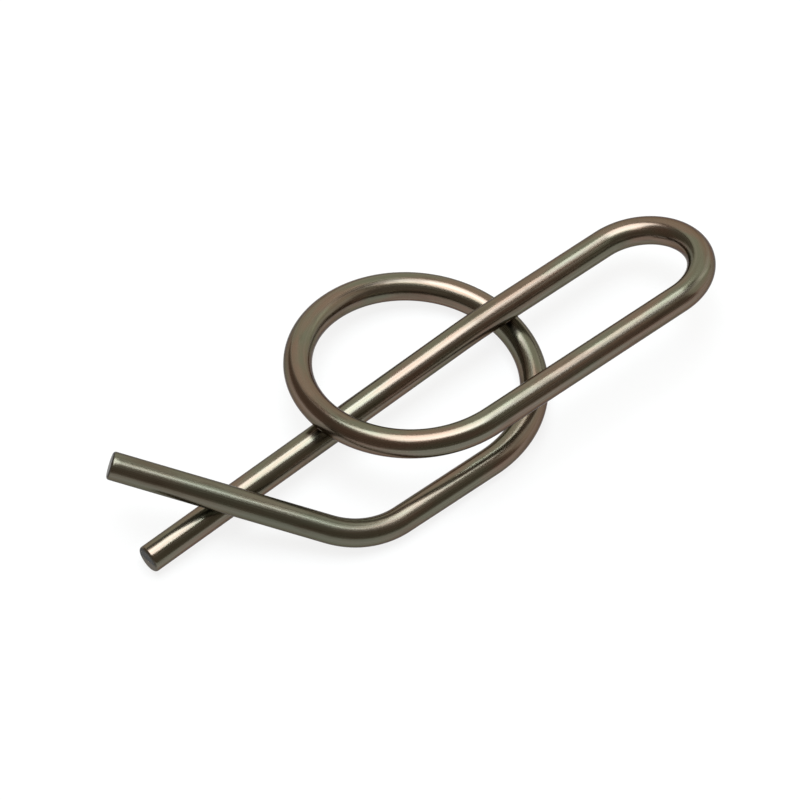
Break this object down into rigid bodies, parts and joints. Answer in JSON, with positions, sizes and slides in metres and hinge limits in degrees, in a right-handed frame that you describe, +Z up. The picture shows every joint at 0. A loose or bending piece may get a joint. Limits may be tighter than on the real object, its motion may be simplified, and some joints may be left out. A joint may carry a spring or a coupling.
{
  "type": "ring cotter pin",
  "caption": "Locking ring cotter bent from one length of spring wire: straight leg, thumb loop, ring that lies round a shaft, and an arm that passes over the leg's tip.",
  "frame": {"origin": "bottom centre of the pin's box, on the floor that it lies on", "axes": "+X along the leg, from its tip towards the thumb loop; +Z up from the floor that the pin lies on; +Y towards the side of the ring that is away from the return run"},
  "size_m": [0.0456, 0.0185, 0.0066],
  "materials": {
    "spring_wire": "satin"
  },
  "bodies": {
    "root": {"ring_cotter_pin": "spring_wire"}
  },
  "joints": []
}
